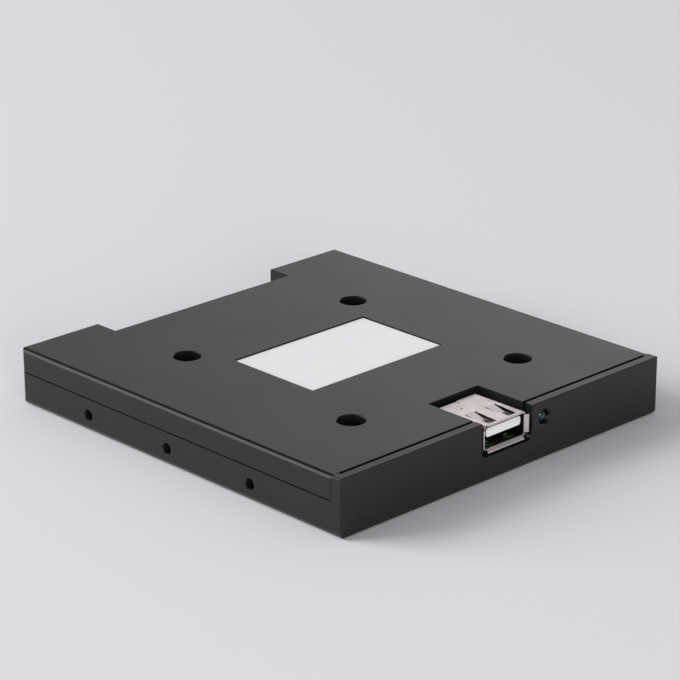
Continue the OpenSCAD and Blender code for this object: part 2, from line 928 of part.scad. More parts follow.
module cable_contacts() {
    color(contact_gold) at_ways() cable_contact();
}

module cable_socket() {
    groove_w = hook_d + latch_gap + e;
    groove_l = hook_l + latch_travel + 2 * latch_gap;
    color(beige_plastic)
        difference() {
            translate([-cable_w / 2, cable_front, board_top]) cube([cable_w, cable_d, cable_h]);
            translate([-slot_w / 2, cable_rear - slot_d, slot_z]) cube([slot_w, slot_d + e, slot_h]);
            at_ways() cable_contact();
            for (side = [-1, 1])
                translate([side * (cable_w / 2 + e), arm_front - latch_gap, arm_z - latch_gap])
                    translate([-groove_w / 2 - side * groove_w / 2, 0, 0])
                        cube([groove_w, groove_l, arm_h + 2 * latch_gap]);
        }
}

// Latch: a bar across the mouth, a wedge that presses the cable, two hooked arms
module cable_latch() {
    wedge_t = 0.35;
    wedge_l = 2.2;
    wedge_w = slot_w - 4 * latch_gap;
    wedge_z = slot_z + slot_h - latch_gap - wedge_t;
    bar_lift = 0.1;
    bar_z = board_top + bar_lift;
    grip_r = 0.35;
    grip_in = 2;
    color(brown_plastic)
        difference() {
            union() {
                translate([-latch_w / 2, latch_y, bar_z]) cube([latch_w, latch_t, cable_h - bar_lift]);
                translate([-wedge_w / 2, cable_rear - wedge_l, wedge_z])
                    cube([wedge_w, wedge_l + latch_gap + e, wedge_t]);
                for (side = [-1, 1]) {
                    translate([side * (latch_w - arm_t) / 2 - arm_t / 2, arm_front, arm_z])
                        cube([arm_t, arm_l + latch_gap + e, arm_h]);
                    translate([side * (latch_w / 2 - arm_t), arm_front, arm_z])
                        translate([-(latch_gap + hook_d) * (1 + side) / 2, 0, 0])
                            cube([latch_gap + hook_d, hook_l, arm_h]);
                }
            }
            translate([-wedge_w / 2, latch_y - e, slot_z])
                cube([wedge_w, latch_t + 2 * e, wedge_z - slot_z]);
            for (side = [-1, 1])
                translate([side * (latch_w / 2 - grip_in), latch_y + latch_t, bar_z - e])
                    cylinder(r = grip_r, h = far);
        }
}

module cable_anchors() {
    t = 0.25;
    foot = 1.3;
    rise = 1.5;
    arm_clearance = 0.15;
    length = arm_front - latch_gap - arm_clearance - cable_front;
    color(plate_metal)
        for (side = [-1, 1])
            translate([side * cable_w / 2, cable_front, board_top])
                rotate([90, 0, 0]) mirror([0, 0, 1])
                    linear_extrude(length)
                        mirror([side < 0 ? 1 : 0, 0])
                            polygon([[0, 0], [foot, 0], [foot, t], [t, t], [t, rise], [0, rise]]);
}

// Bent lead of a chip: it leaves the body at y = 0 and stands on the board
module chip_lead(width, reach, rise, t) {
    knee = reach * 0.35;
    foot = reach * 0.55;
    across(width)
        polygon([
            [0, rise], [0, rise + t], [knee, rise + t], [foot + t / 2, t], [reach, t],
            [reach, 0], [foot - t / 2, 0], [knee - t, rise]
        ]);
}

module lead_row(count, pitch, width, reach, t) {
    rise = chip_lift + chip_h * 0.4;
    for (i = [0:count - 1])
        translate([(i - (count - 1) / 2) * pitch, 0, board_top])
            chip_lead(width, reach, rise, t);
}

// Chip body with a shallow dot that marks its first contact
module chip_body(length, width) {
    dot = 0.35;
    dot_depth = 0.1;
    translate([0, 0, board_top + chip_lift])
        difference() {
            translate([-length / 2, -width / 2, 0]) cube([length, width, chip_h]);
            translate([-length / 2 + 3 * dot, -width / 2 + 3 * dot, chip_h - dot_depth])
                cylinder(r = dot, h = far);
        }
}

module microcontroller() {
    color(chip_black) translate(mcu_at) chip_body(mcu_w, mcu_w);
}

module microcontroller_leads() {
    width = 0.22;
    reach = 1;
    t = 0.13;
    color(plate_metal)
        translate(mcu_at)
            for (turn = [0:90:270])
                rotate(turn)
                    translate([0, mcu_w / 2, 0]) lead_row(mcu_ways, mcu_pitch, width, reach, t);
}

module small_outline_leads(count) {
    width = 0.42;
    reach = 1.05;
    t = 0.2;
    for (turn = [0, 180])
        rotate(turn)
            translate([0, chip_w / 2, 0]) lead_row(count, chip_pitch, width, reach, t);
}

module memory_chip() {
    color(chip_black) translate(memory_at) chip_body(memory_l, chip_w);
}

module memory_leads() {
    color(plate_metal) translate(memory_at) small_outline_leads(4);
}

module buffer_chips() {
    color(chip_black)
        for (place = driver_at)
            translate(place) chip_body(driver_l, chip_w);
}

module buffer_leads() {
    color(plate_metal)
        for (place = driver_at)
            translate(place) small_outline_leads(7);
}

module crystal() {
    flange = 0.35;
    flange_h = 0.5;
    r = crystal_w / 2;
    half = [crystal_l / 2, r];
    rim = half + [flange, flange];
    color(plate_metal)
        translate([crystal_at.x, crystal_at.y, board_top]) {
            linear_extrude(flange_h) soft_rect(-rim, rim, r, r);
            linear_extrude(crystal_h) soft_rect(-half, half, r, r);
        }
}

module crystal_leads() {
    lead_r = 0.22;
    foot_z = board_z - pin_drop;
    color(plate_metal)
        for (side = [-1, 1])
            translate([crystal_at.x + side * crystal_lead_x, crystal_at.y, foot_z])
                cylinder(r = lead_r, h = board_top - foot_z);
}

module voltage_regulator() {
    size = regulator_size;
    color(chip_black)
        translate([regulator_at.x - size.x / 2, regulator_at.y - size.y / 2, board_top + chip_lift])
            cube(size);
}

// One broad tab on one side and three narrow leads on the other
module regulator_leads() {
    t = 0.25;
    reach = 1.6;
    tab_w = 3;
    lead_w = 0.7;
    lead_pitch = 2.3;
    side_y = regulator_size.y / 2;
    color(plate_metal)
        translate(regulator_at) {
            translate([0, side_y, 0]) lead_row(1, 0, tab_w, reach, t);
            rotate(180) translate([0, side_y, 0]) lead_row(3, lead_pitch, lead_w, reach, t);
        }
}

module bulk_capacitors() {
    size = bulk_size;
    bevel = 0.5;
    color(cap_amber)
        for (place = bulk_at)
            translate([place.x, place.y, board_top])
                rotate([90, 0, 90])
                    translate([0, 0, -size.x / 2])
                        linear_extrude(size.x)
                            polygon([
                                [-size.y / 2, 0], [size.y / 2, 0], [size.y / 2, size.z - bevel],
                                [size.y / 2 - bevel, size.z], [bevel - size.y / 2, size.z],
                                [-size.y / 2, size.z - bevel]
                            ]);
}

// Middle of a small chip part, between its two metal ends
module small_body(height) {
    length = small_l - 2 * small_end;
    translate([-length / 2, -small_w / 2, board_top]) cube([length, small_w, height]);
}

module small_ends(height) {
    for (side = [-1, 1])
        translate([side * (small_l - small_end) / 2 - small_end / 2, -small_w / 2, board_top])
            cube([small_end, small_w, height]);
}

module chip_capacitors() {
    color(cap_tan)
        for (place = capacitor_at)
            translate(place) small_body(2 * small_h);
}

module chip_resistors() {
    color(chip_black)
        for (place = resistor_at)
            translate(place) small_body(small_h);
}

module chip_terminals() {
    bulk_end = [0.2, 2.2, 1.2];
    color(plate_metal) {
        for (place = capacitor_at)
            translate(place) small_ends(2 * small_h);
        for (place = resistor_at)
            translate(place) small_ends(small_h);
        for (place = bulk_at, side = [-1, 1])
            translate([place.x + side * (bulk_size.x + bulk_end.x) / 2, place.y, board_top])
                translate([-bulk_end.x / 2, -bulk_end.y / 2, 0])
                    cube(bulk_end);
    }
}

bottom_case();
top_cover();
label();
case_screws();
circuit_board();
usb_shield();
usb_insulator();
usb_contacts();
status_lamp();
lamp_leads();
cable_socket();
cable_contacts();
cable_latch();
cable_anchors();
microcontroller();
microcontroller_leads();
memory_chip();
memory_leads();
buffer_chips();
buffer_leads();
crystal();
crystal_leads();
voltage_regulator();
regulator_leads();
bulk_capacitors();
chip_capacitors();
chip_resistors();
chip_terminals();
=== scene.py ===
"""Looks, light and camera for a slim floppy drive emulator.

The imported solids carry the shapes. This script dresses every one of them in a
procedural finish, adds the small parts inside the lamp, and sets up the studio.
All lengths are in metres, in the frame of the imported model.
"""

import logging
import math
from dataclasses import dataclass, field
from enum import Enum

import bmesh
import bpy
from mathutils import Matrix, Vector


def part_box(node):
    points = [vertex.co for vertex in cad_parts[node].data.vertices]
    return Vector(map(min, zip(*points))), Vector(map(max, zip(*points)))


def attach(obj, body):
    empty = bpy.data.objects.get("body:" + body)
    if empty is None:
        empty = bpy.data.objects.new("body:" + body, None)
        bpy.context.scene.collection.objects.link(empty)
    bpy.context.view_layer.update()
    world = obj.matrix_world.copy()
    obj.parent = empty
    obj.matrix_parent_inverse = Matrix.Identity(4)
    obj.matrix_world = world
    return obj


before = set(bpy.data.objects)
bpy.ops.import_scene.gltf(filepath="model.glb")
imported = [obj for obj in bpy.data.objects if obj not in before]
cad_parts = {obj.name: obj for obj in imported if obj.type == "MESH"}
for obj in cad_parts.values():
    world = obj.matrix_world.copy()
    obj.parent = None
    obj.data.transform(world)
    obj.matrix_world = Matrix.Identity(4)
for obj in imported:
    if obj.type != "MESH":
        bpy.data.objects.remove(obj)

LOG = logging.getLogger("drive_scene")
CASE_BODY = "case"
MM = 0.001

Colour = tuple[float, float, float]
Point = tuple[float, float, float]


class Relief(Enum):
    """The fine relief that a finish shows."""

    GRAIN = "even sanded grain"
    BRUSHED = "lines left by rolling or drawing"
    TRACES = "tracks under a solder mask"
    FIBRE = "short fibres of a coated film"


class Shelter(Enum):
    """The walls that shelter a surface, where it gets painted shade."""

    OWN = "the walls of the piece itself"
    ANY = "the walls of every piece near it"


@dataclass(frozen=True)
class Finish:
    """One surface finish, from its colour to its finest relief.

    The base drifts between colour and shade in soft patches. Edges take a lighter colour, partly wear and
    partly painted highlight; long rounded edges take a painted highlight line; and sheltered places take
    painted shade. Each of the three is left out where its gain, gloss or reach is 0.
    """

    name: str
    colour: Colour
    shade: Colour
    roughness: float
    roughness_spread: float = 0.08
    metallic: float = 0.0
    relief: Relief = Relief.GRAIN
    grain_size: float = 0.12 * MM
    grain_depth: float = 0.25
    patch_size: float = 9 * MM
    edge_radius: float = 0.12 * MM
    # Edges lighten partly as wear and partly as painted highlight.
    wear_and_highlight_gain: float = 0.0
    wear_and_highlight_colour: Colour = (0.5, 0.5, 0.5)
    rub_gloss: float = 0.0
    # Colour of a painted highlight line along the long rounded edges.
    painted_highlight_colour: Colour = (0.5, 0.5, 0.5)
    # Painted shade in insides and slits, found by ambient occlusion.
    painted_shade_reach: float = 0.0
    painted_shade_colour: Colour = (0.1, 0.1, 0.1)
    painted_shade_shelter: Shelter = Shelter.OWN
    coat: float = 0.0
    coat_roughness: float = 0.1
    transmission: float = 0.0
    specular: float = 0.5
    ior: float = 1.5


class NodeSheet:
    """A node tree with short calls for its nodes and links."""

    # A Mix node has sockets of every data type. These are the factor's and the colours'.
    MIX_INPUTS = (0, 6, 7)
    MIX_RESULT = 2

    def __init__(self, tree: bpy.types.NodeTree) -> None:
        """Keeps the tree that the calls work on.

        Args:
            tree: The tree of a material, world or node group.
        """
        self.tree = tree

    def add(self, kind: str, **settings: object) -> bpy.types.Node:
        """Adds a node.

        Args:
            kind: The node's type name.
            **settings: Properties to set on it.

        Returns:
            The new node.
        """
        node = self.tree.nodes.new(kind)
        for key, value in settings.items():
            setattr(node, key, value)
        return node

    def link(self, source: bpy.types.NodeSocket, target: bpy.types.NodeSocket) -> None:
        """Joins an output to an input."""
        self.tree.links.new(source, target)

    def feed(self, target: bpy.types.NodeSocket, value: object) -> None:
        """Sets an input to a value, or joins it to an output.

        Args:
            target: The input.
            value: A socket, a number or a tuple.
        """
        if isinstance(value, bpy.types.NodeSocket):
            self.link(value, target)
        else:
            target.default_value = value

    def math(self, operation: str, *values: object, clamp: bool = False) -> bpy.types.NodeSocket:
        """Adds a Math node.

        Args:
            operation: Its operation.
            *values: Sockets or numbers for its inputs.
            clamp: Whether its result is kept between 0 and 1.

        Returns:
            The result's socket.
        """
        node = self.add("ShaderNodeMath", operation=operation, use_clamp=clamp)
        for target, value in zip(node.inputs, values):
            self.feed(target, value)
        return node.outputs[0]

    def mix(self, factor: object, low: object, high: object) -> bpy.types.NodeSocket:
        """Adds a colour mix.

        Args:
            factor: Socket or number, 0 for low and 1 for high.
            low: Socket or RGBA colour.
            high: Socket or RGBA colour.

        Returns:
            The mixed colour's socket.
        """
        node = self.add("ShaderNodeMix", data_type="RGBA")
        for index, value in zip(self.MIX_INPUTS, (factor, low, high)):
            self.feed(node.inputs[index], value)
        return node.outputs[self.MIX_RESULT]

    def span(
        self, value: object, reads: tuple[float, float], gives: tuple[object, object] = (0.0, 1.0)
    ) -> bpy.types.NodeSocket:
        """Maps a range of a value onto another range, clamped.

        Args:
            value: Socket or number.
            reads: Start and end of the range that is read.
            gives: What the start and the end become, as sockets or numbers.

        Returns:
            The result's socket.
        """
        node = self.add("ShaderNodeMapRange", clamp=True)
        for target, item in zip(node.inputs, (value, *reads, *gives)):
            self.feed(target, item)
        return node.outputs[0]

    def share(self, first: object, second: object, part: float) -> bpy.types.NodeSocket:
        """Adds up two heights by their shares.

        Args:
            first: Socket of the first height.
            second: Socket of the second height.
            part: Share of the first height. The second has the rest.

        Returns:
            The sum's socket.
        """
        rest = self.math("MULTIPLY", second, 1.0 - part)
        return self.math("ADD", self.math("MULTIPLY", first, part), rest)

    def noise(self, size: object, octaves: float, stretch: Point = (1, 1, 1)) -> bpy.types.NodeSocket:
        """Adds noise over the object's own coordinates.

        Args:
            size: Socket or number, the noise's grain in metres.
            octaves: Number of octaves.
            stretch: Factor on each axis.

        Returns:
            The noise's value.
        """
        place = self.add("ShaderNodeTexCoord")
        scale = self.add("ShaderNodeVectorMath", operation="MULTIPLY")
        self.link(place.outputs["Object"], scale.inputs[0])
        scale.inputs[1].default_value = stretch
        noise = self.add("ShaderNodeTexNoise")
        noise.inputs["Detail"].default_value = octaves
        self.link(scale.outputs[0], noise.inputs["Vector"])
        self.link(self.math("DIVIDE", 1.0, size), noise.inputs["Scale"])
        return noise.outputs[0]


def rgba(colour: Colour) -> tuple[float, float, float, float]:
    """Gives a colour an alpha of 1."""
    return (*colour, 1.0)


class EffectShelf:
    """The effects of the finishes as node groups, each made once."""

    def __init__(self) -> None:
        """Starts with no group made."""
        self.made: dict[str, bpy.types.NodeTree] = {}

    def group(self, name: str) -> bpy.types.NodeTree:
        """Gives a group by name, and makes it the first time.

        Args:
            name: One of patches, edge_wear_and_highlight, rounds, hollow, covered, grain, brushed, traces
                and fibre.

        Returns:
            The node group.
        """
        makers = {
            "patches": self.make_patches,
            "edge_wear_and_highlight": self.make_edge_wear_and_highlight,
            "rounds": self.make_rounds,
            "painted_shade": lambda: self.make_painted_shade(Shelter.OWN),
            "painted_shade_any": lambda: self.make_painted_shade(Shelter.ANY),
            "grain": self.make_grain,
            "brushed": self.make_brushed,
            "traces": self.make_traces,
            "fibre": self.make_fibre,
        }
        if name not in self.made:
            self.made[name] = makers[name]()
        return self.made[name]

    def place(self, sheet: NodeSheet, name: str, **values: object) -> bpy.types.Node:
        """Places a group in a material.

        Args:
            sheet: The material's sheet.
            name: The group's name.
            **values: Its inputs, with _ in place of each space.

        Returns:
            The group's node.
        """
        node = sheet.add("ShaderNodeGroup", node_tree=self.group(name))
        for key, value in values.items():
            sheet.feed(node.inputs[key.replace("_", " ").title()], value)
        return node

    def blank(
        self, name: str, inputs: dict[str, float], outputs: dict[str, str]
    ) -> tuple[NodeSheet, bpy.types.Node, bpy.types.Node]:
        """Makes an empty group with its sockets.

        Args:
            name: The group's name.
            inputs: Default value of each number that goes in.
            outputs: Socket type of each result.

        Returns:
            The group's sheet, its input node and its output node.
        """
        tree = bpy.data.node_groups.new(name, "ShaderNodeTree")
        for key, value in inputs.items():
            socket = tree.interface.new_socket(key, in_out="INPUT", socket_type="NodeSocketFloat")
            socket.default_value = value
        for key, kind in outputs.items():
            tree.interface.new_socket(key, in_out="OUTPUT", socket_type=kind)
        sheet = NodeSheet(tree)
        return sheet, sheet.add("NodeGroupInput"), sheet.add("NodeGroupOutput")

    def make_patches(self) -> bpy.types.NodeTree:
        """Broad soft patches, for colour and roughness that drift a little.

        Returns:
            The node group.
        """
        octaves = 3.0
        soft_step = (0.3, 0.7)
        sheet, source, result = self.blank("patches", {"Size": 10 * MM}, {"Mask": "NodeSocketFloat"})
        value = sheet.noise(source.outputs["Size"], octaves)
        sheet.link(sheet.span(value, soft_step), result.inputs["Mask"])
        return sheet.tree

    def make_edge_wear_and_highlight(self) -> bpy.types.NodeTree:
        """Mask of edges lightened partly by wear and partly as painted highlight, and the normal of edges
        broken to a small radius.

        Returns:
            The node group.
        """
        samples = 6
        octaves = 4.0
        flat_to_edge = (0.99, 0.8)
        break_step = (0.35, 0.65)
        least_wear_and_highlight = 0.25
        sheet, source, result = self.blank(
            "edge_wear_and_highlight",
            {"Radius": 0.1 * MM, "Break Size": 0.6 * MM},
            {"Mask": "NodeSocketFloat", "Normal": "NodeSocketVector"},
        )
        bevel = sheet.add("ShaderNodeBevel", samples=samples)
        sheet.link(source.outputs["Radius"], bevel.inputs["Radius"])
        flat = sheet.add("ShaderNodeNewGeometry")
        dot = sheet.add("ShaderNodeVectorMath", operation="DOT_PRODUCT")
        sheet.link(bevel.outputs[0], dot.inputs[0])
        sheet.link(flat.outputs["Normal"], dot.inputs[1])
        bend = sheet.span(dot.outputs["Value"], flat_to_edge)
        breaks = sheet.noise(source.outputs["Break Size"], octaves)
        wear_and_highlight = sheet.span(breaks, break_step, (least_wear_and_highlight, 1.0))
        sheet.link(sheet.math("MULTIPLY", bend, wear_and_highlight), result.inputs["Mask"])
        sheet.link(bevel.outputs[0], result.inputs["Normal"])
        return sheet.tree

    def make_rounds(self) -> bpy.types.NodeTree:
        """Mask of rounded edges, and of a painted highlight line that runs along the long ones.

        The normal tells both: on a round its widest part is less than 1, and the line
        is where it points sideways and up, and neither to the front nor to the rear.

        Returns:
            The node group.
        """
        flat_to_round = (0.9995, 0.99)
        line_starts = (0.10, 0.28)
        line_ends = (0.60, 0.78)
        side_to_front = (0.1, 0.3)
        fades_out = (1.0, 0.0)
        sheet, _, result = self.blank("rounds", {}, {"Mask": "NodeSocketFloat", "Painted Highlight": "NodeSocketFloat"})
        face = sheet.add("ShaderNodeNewGeometry")
        size = sheet.add("ShaderNodeVectorMath", operation="ABSOLUTE")
        sheet.link(face.outputs["Normal"], size.inputs[0])
        parts = sheet.add("ShaderNodeSeparateXYZ")
        sheet.link(size.outputs[0], parts.inputs[0])
        widest = sheet.math("MAXIMUM", sheet.math("MAXIMUM", *parts.outputs[:2]), parts.outputs[2])
        mask = sheet.span(widest, flat_to_round)
        sheet.link(mask, result.inputs["Mask"])
        tilt = sheet.add("ShaderNodeSeparateXYZ")
        sheet.link(face.outputs["Normal"], tilt.inputs[0])
        lower = sheet.span(tilt.outputs["Z"], line_starts)
        upper = sheet.span(tilt.outputs["Z"], line_ends, fades_out)
        along = sheet.span(parts.outputs["Y"], side_to_front, fades_out)
        line = sheet.math("MULTIPLY", sheet.math("MULTIPLY", lower, upper), along)
        sheet.link(sheet.math("MULTIPLY", line, mask), result.inputs["Painted Highlight"])
        return sheet.tree

    def make_painted_shade(self, shelter: Shelter) -> bpy.types.NodeTree:
        """Makes a mask of insides and slits, where shade is painted.

        Args:
            shelter: The walls that count.

        Returns:
            The node group.
        """
        samples = 8
        deep_to_open = (0.45, 0.95)
        own = shelter is Shelter.OWN
        name = "painted_shade" if own else "painted_shade_any"
        sheet, source, result = self.blank(name, {"Reach": 5 * MM}, {"Mask": "NodeSocketFloat"})
        around = sheet.add("ShaderNodeAmbientOcclusion", samples=samples, only_local=own)
        sheet.link(source.outputs["Reach"], around.inputs["Distance"])
        sheet.link(sheet.span(around.outputs["AO"], deep_to_open, (1.0, 0.0)), result.inputs["Mask"])
        return sheet.tree

    def make_grain(self) -> bpy.types.NodeTree:
        """Even sanded grain of a moulding tool.

        Returns:
            The node group.
        """
        octaves = 2.0
        coarser = 3.1
        fine_part = 0.65
        sheet, source, result = self.blank("grain", {"Size": 0.1 * MM}, {"Height": "NodeSocketFloat"})
        fine = sheet.noise(source.outputs["Size"], octaves)
        broad = sheet.noise(sheet.math("MULTIPLY", source.outputs["Size"], coarser), octaves)
        sheet.link(sheet.share(fine, broad, fine_part), result.inputs["Height"])
        return sheet.tree

    def make_brushed(self) -> bpy.types.NodeTree:
        """Lines along Y, as rolled and drawn metal has.

        Returns:
            The node group.
        """
        octaves = 3.0
        drawn_out = (1, 0.06, 1)
        coarser = 2.3
        line_part = 0.7
        sheet, source, result = self.blank("brushed", {"Size": 0.1 * MM}, {"Height": "NodeSocketFloat"})
        lines = sheet.noise(source.outputs["Size"], octaves, drawn_out)
        pits = sheet.noise(sheet.math("MULTIPLY", source.outputs["Size"], coarser), octaves)
        sheet.link(sheet.share(lines, pits, line_part), result.inputs["Height"])
        return sheet.tree

    def make_traces(self) -> bpy.types.NodeTree:
        """Two sets of tracks under a solder mask, raised a little.

        Returns:
            The node group.
        """
        offset_and_width = ((0.5, 2.2), (0.37, 5.1))
        track_w = 0.05
        rows_per_size = 0.4
        board, track = rgba((0, 0, 0)), rgba((1, 1, 1))
        sheet, source, result = self.blank("traces", {"Size": 0.8 * MM}, {"Height": "NodeSocketFloat"})
        place = sheet.add("ShaderNodeTexCoord")
        scale = sheet.math("DIVIDE", rows_per_size, source.outputs["Size"])
        runs = []
        for offset, width in offset_and_width:
            brick = sheet.add("ShaderNodeTexBrick", offset=offset)
            sheet.link(place.outputs["Object"], brick.inputs["Vector"])
            sheet.link(scale, brick.inputs["Scale"])
            brick.inputs["Color1"].default_value = board
            brick.inputs["Color2"].default_value = board
            brick.inputs["Mortar"].default_value = track
            brick.inputs["Mortar Size"].default_value = track_w
            brick.inputs["Brick Width"].default_value = width
            runs.append(brick.outputs["Color"])
        sheet.link(sheet.math("MAXIMUM", *runs), result.inputs["Height"])
        return sheet.tree

    def make_fibre(self) -> bpy.types.NodeTree:
        """Short crossed fibres of a coated film.

        Returns:
            The node group.
        """
        octaves = 3.0
        drawn_out = 0.25
        sheet, source, result = self.blank("fibre", {"Size": 0.2 * MM}, {"Height": "NodeSocketFloat"})
        along = sheet.noise(source.outputs["Size"], octaves, (drawn_out, 1, 1))
        cross = sheet.noise(source.outputs["Size"], octaves, (1, drawn_out, 1))
        sheet.link(sheet.math("MULTIPLY", along, cross), result.inputs["Height"])
        return sheet.tree


class FinishShop:
    """Makes one material of each finish and puts it on pieces."""

    RELIEFS = {
        Relief.GRAIN: "grain",
        Relief.BRUSHED: "brushed",
        Relief.TRACES: "traces",
        Relief.FIBRE: "fibre",
    }
    BREAK_PER_RADIUS = 5
    TRACK_GAIN = 1.9
    LEAST_ROUGHNESS = 0.02
    BUMP_PER_GRAIN = 0.3

    def __init__(self) -> None:
        """Starts with an empty shelf of effects and no material."""
        self.shelf = EffectShelf()
        self.made: dict[str, bpy.types.Material] = {}

    def material(self, finish: Finish) -> bpy.types.Material:
        """Gives the material of a finish, and makes it the first time.

        Args:
            finish: The finish.

        Returns:
            Its material.
        """
        if finish.name not in self.made:
            self.made[finish.name] = self.make(finish)
        return self.made[finish.name]

    def make(self, finish: Finish) -> bpy.types.Material:
        """Builds a material from a finish.

        Args:
            finish: The finish.

        Returns:
            The new material.
        """
        material = bpy.data.materials.new(finish.name)
        material.use_nodes = True
        sheet = NodeSheet(material.node_tree)
        shader = material.node_tree.nodes["Principled BSDF"]
        effects = self.place_effects(sheet, finish)
        sheet.link(self.blend_colour(sheet, finish, effects), shader.inputs["Base Color"])
        sheet.link(self.blend_roughness(sheet, finish, effects), shader.inputs["Roughness"])
        sheet.link(self.raise_relief(sheet, finish, effects), shader.inputs["Normal"])
        shader.inputs["Metallic"].default_value = finish.metallic
        shader.inputs["IOR"].default_value = finish.ior
        shader.inputs["Specular IOR Level"].default_value = finish.specular
        shader.inputs["Coat Weight"].default_value = finish.coat
        shader.inputs["Coat Roughness"].default_value = finish.coat_roughness
        shader.inputs["Transmission Weight"].default_value = finish.transmission
        return material

    def place_effects(self, sheet: NodeSheet, finish: Finish) -> dict[str, bpy.types.Node]:
        """Places the effects that a finish needs.

        Args:
            sheet: The material's sheet.
            finish: The finish.

        Returns:
            The node of each effect: patches, edge and relief, and rounds and the painted shade mask where
                the finish has them.
        """
        shelf = self.shelf
        break_size = self.BREAK_PER_RADIUS * finish.edge_radius
        effects = {
            "patches": shelf.place(sheet, "patches", size=finish.patch_size),
            "edge": shelf.place(sheet, "edge_wear_and_highlight", radius=finish.edge_radius, break_size=break_size),
            "relief": shelf.place(sheet, self.RELIEFS[finish.relief], size=finish.grain_size),
        }
        if finish.rub_gloss:
            effects["rounds"] = shelf.place(sheet, "rounds")
        if finish.painted_shade_reach:
            mask = "painted_shade" if finish.painted_shade_shelter is Shelter.OWN else "painted_shade_any"
            effects["painted_shade"] = shelf.place(sheet, mask, reach=finish.painted_shade_reach)
        return effects

    def blend_colour(
        self, sheet: NodeSheet, finish: Finish, effects: dict[str, bpy.types.Node]
    ) -> bpy.types.NodeSocket:
        """Lays a finish's colours over one another, painted highlights and painted shade among them.

        Args:
            sheet: The material's sheet.
            finish: The finish.
            effects: The node of each effect.

        Returns:
            The colour's socket.
        """
        colour = sheet.mix(effects["patches"].outputs["Mask"], rgba(finish.shade), rgba(finish.colour))
        if finish.relief is Relief.TRACES:
            lighter = tuple(min(1.0, c * self.TRACK_GAIN) for c in finish.colour)
            colour = sheet.mix(effects["relief"].outputs["Height"], colour, rgba(lighter))
        # Edges lighter: partly wear, partly painted highlight.
        if finish.wear_and_highlight_gain:
            wear_and_highlight = sheet.math("MULTIPLY", effects["edge"].outputs["Mask"], finish.wear_and_highlight_gain)
            colour = sheet.mix(wear_and_highlight, colour, rgba(finish.wear_and_highlight_colour))
        # A painted highlight line along the long rounded edges.
        if "rounds" in effects:
            colour = sheet.mix(effects["rounds"].outputs["Painted Highlight"], colour, rgba(finish.painted_highlight_colour))
        # Painted shade in insides and slits.
        if "painted_shade" in effects:
            colour = sheet.mix(effects["painted_shade"].outputs["Mask"], colour, rgba(finish.painted_shade_colour))
        return colour

    def blend_roughness(
        self, sheet: NodeSheet, finish: Finish, effects: dict[str, bpy.types.Node]
    ) -> bpy.types.NodeSocket:
        """Lets the roughness drift, and lowers it on rounded edges.

        Args:
            sheet: The material's sheet.
            finish: The finish.
            effects: The node of each effect.

        Returns:
            The roughness's socket.
        """
        low = max(self.LEAST_ROUGHNESS, finish.roughness - finish.roughness_spread)
        high = finish.roughness + finish.roughness_spread
        rough = sheet.span(effects["patches"].outputs["Mask"], (0.0, 1.0), (low, high))
        if "rounds" in effects:
            gloss = sheet.math("MULTIPLY", effects["rounds"].outputs["Mask"], finish.rub_gloss)
            rough = sheet.math("SUBTRACT", rough, gloss, clamp=True)
        return rough

    def raise_relief(
        self, sheet: NodeSheet, finish: Finish, effects: dict[str, bpy.types.Node]
    ) -> bpy.types.NodeSocket:
        """Raises the relief over the broken edges.

        Args:
            sheet: The material's sheet.
            finish: The finish.
            effects: The node of each effect.

        Returns:
            The normal's socket.
        """
        bump = sheet.add("ShaderNodeBump")
        bump.inputs["Strength"].default_value = finish.grain_depth
        bump.inputs["Distance"].default_value = finish.grain_size * self.BUMP_PER_GRAIN
        sheet.link(effects["relief"].outputs["Height"], bump.inputs["Height"])
        sheet.link(effects["edge"].outputs["Normal"], bump.inputs["Normal"])
        return bump.outputs[0]

    def dress(self, piece: bpy.types.Object, finish: Finish) -> None:
        """Gives every slot of a piece one finish.

        Args:
            piece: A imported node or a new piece.
            finish: The finish.
        """
        material = self.material(finish)
        if not piece.material_slots:
            piece.data.materials.append(material)
        for place in piece.material_slots:
            place.material = material


CASE_PLASTIC = Finish(
    "case_plastic",
    colour=(0.0108, 0.0106, 0.0114),
    shade=(0.0089, 0.0087, 0.0094),
    roughness=0.31,
    roughness_spread=0.02,
    grain_size=0.16 * MM,
    grain_depth=0.35,
    patch_size=16 * MM,
    edge_radius=0.16 * MM,
    # Edges lighter: partly wear, partly painted highlight.
    wear_and_highlight_gain=0.25,
    wear_and_highlight_colour=(0.05, 0.05, 0.052),
    rub_gloss=0.16,
    # Painted highlight line along the long rounded edges:
    painted_highlight_colour=(0.070, 0.070, 0.072),
    specular=0.375,
)
LABEL_FILM = Finish(
    "label_film",
    colour=(0.82, 0.82, 0.83),
    shade=(0.80, 0.80, 0.81),
    roughness=0.38,
    relief=Relief.FIBRE,
    grain_size=0.3 * MM,
    grain_depth=0.12,
    edge_radius=0.05 * MM,
)
SHIELD_TIN = Finish(
    "shield_tin",
    colour=(0.90, 0.82, 0.81),
    shade=(0.80, 0.72, 0.71),
    roughness=0.32,
    metallic=1.0,
    relief=Relief.BRUSHED,
    grain_size=0.2 * MM,
    grain_depth=0.3,
    patch_size=3 * MM,
    edge_radius=0.05 * MM,
    # Edges lighter: partly wear, partly painted highlight.
    wear_and_highlight_gain=0.5,
    wear_and_highlight_colour=(0.9, 0.87, 0.85),
    # Painted shade inside the shell and in its slits:
    painted_shade_reach=7 * MM,
    painted_shade_colour=(0.11, 0.075, 0.055),
)
TONGUE_PLASTIC = Finish(
    "tongue_plastic",
    colour=(0.88, 0.88, 0.88),
    shade=(0.84, 0.84, 0.84),
    roughness=0.3,
    grain_size=0.1 * MM,
    grain_depth=0.1,
    patch_size=4 * MM,
    # Painted shade where the shell covers the tongue:
    painted_shade_reach=3 * MM,
    painted_shade_colour=(0.16, 0.14, 0.13),
    painted_shade_shelter=Shelter.ANY,
)
